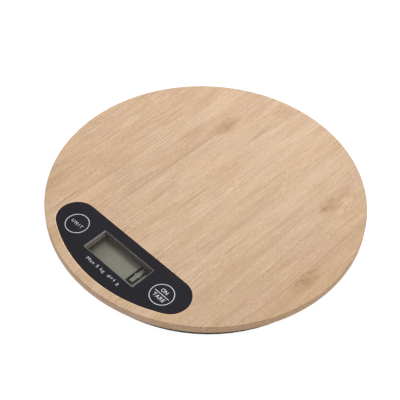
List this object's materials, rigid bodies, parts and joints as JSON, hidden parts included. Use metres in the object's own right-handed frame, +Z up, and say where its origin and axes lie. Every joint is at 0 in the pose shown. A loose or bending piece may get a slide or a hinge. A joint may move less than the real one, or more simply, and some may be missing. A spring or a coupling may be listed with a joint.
{
  "type": "kitchen scale",
  "caption": "Round thin electronic kitchen scale: bamboo weighing board, black crescent panel with recessed display and pressed keys, black housing on four load-cell feet.",
  "frame": {"origin": "centre of the round footprint on the table plane, under the feet", "axes": "+Z up, -Y towards the display and keys at the front, +X towards the tare key on the right"},
  "size_m": [0.2, 0.2, 0.02],
  "materials": {
    "bamboo": "satin lacquered bamboo, strips running front to back",
    "overlay_film": "fine-textured black film",
    "clear_window": "clear polyester window",
    "lcd_glass": "grey-green liquid crystal display",
    "housing_plastic": "moulded black ABS, fine texture",
    "white_plastic": "moulded natural white plastic",
    "switch_plastic": "black nylon",
    "foot_rubber": "matt dark rubber",
    "zebra_rubber": "striped conductive rubber",
    "circuit_board": "green solder mask",
    "epoxy": "black glob-top epoxy",
    "screw_steel": "zinc plated steel",
    "contact_steel": "nickel plated spring steel",
    "load_cell_alloy": "brushed spring steel",
    "battery_case": "plain lacquered steel sleeve",
    "black_wire": "black vinyl insulation",
    "red_wire": "red vinyl insulation",
    "white_wire": "white vinyl insulation"
  },
  "bodies": {
    "scale_body": {"bamboo_platter": "bamboo", "control_overlay": "overlay_film", "display_window": "clear_window", "unit_switch_body": "switch_plastic", "tare_switch_body": "switch_plastic", "lcd_glass": "lcd_glass", "lcd_frame": "white_plastic", "lcd_reflector": "white_plastic", "zebra_strip_front": "zebra_rubber", "zebra_strip_rear": "zebra_rubber", "main_pcb": "circuit_board", "controller_chip": "epoxy", "pcb_screw_left": "screw_steel", "pcb_screw_right": "screw_steel", "battery_lead_negative": "black_wire", "battery_lead_positive": "red_wire", "contact_negative": "contact_steel", "contact_positive": "contact_steel", "contact_bridge": "contact_steel", "battery_front": "battery_case", "battery_rear": "battery_case", "bottom_housing": "housing_plastic", "foot_pad_front_left": "foot_rubber", "foot_front_left": "housing_plastic", "foot_screw_front_left": "screw_steel", "load_cell_front_left": "load_cell_alloy", "load_cell_retainer_front_left": "white_plastic", "load_cell_wires_front_left": "white_wire", "foot_pad_front_right": "foot_rubber", "foot_front_right": "housing_plastic", "foot_screw_front_right": "screw_steel", "load_cell_front_right": "load_cell_alloy", "load_cell_retainer_front_right": "white_plastic", "load_cell_wires_front_right": "white_wire", "foot_pad_rear_left": "foot_rubber", "foot_rear_left": "housing_plastic", "foot_screw_rear_left": "screw_steel", "load_cell_rear_left": "load_cell_alloy", "load_cell_retainer_rear_left": "white_plastic", "load_cell_wires_rear_left": "white_wire", "foot_pad_rear_right": "foot_rubber", "foot_rear_right": "housing_plastic", "foot_screw_rear_right": "screw_steel", "load_cell_rear_right": "load_cell_alloy", "load_cell_retainer_rear_right": "white_plastic", "load_cell_wires_rear_right": "white_wire", "housing_screw_1": "screw_steel", "housing_screw_2": "screw_steel", "housing_screw_3": "screw_steel", "housing_screw_4": "screw_steel", "housing_screw_5": "screw_steel", "housing_screw_6": "screw_steel"},
    "unit_key": {"unit_key_film": "overlay_film", "unit_key_plunger": "white_plastic", "unit_switch_stem": "switch_plastic"},
    "tare_key": {"tare_key_film": "overlay_film", "tare_key_plunger": "white_plastic", "tare_switch_stem": "switch_plastic"},
    "battery_door": {"battery_door": "housing_plastic"}
  },
  "joints": [
    {"name": "unit_key_press", "type": "slide", "parent": "scale_body", "child": "unit_key", "axis": [0, 0, -1], "range_m": [0, 0.0003], "stiffness_N_per_m": 5000, "springref_m": -0.0001},
    {"name": "tare_key_press", "type": "slide", "parent": "scale_body", "child": "tare_key", "axis": [0, 0, -1], "range_m": [0, 0.0003], "stiffness_N_per_m": 5000, "springref_m": -0.0001},
    {"name": "battery_door_hinge", "type": "hinge", "parent": "scale_body", "child": "battery_door", "pos_m": [-0.0261, 0.012, 0.0026], "axis": [0, 1, 0], "range_deg": [0, 90]}
  ]
}
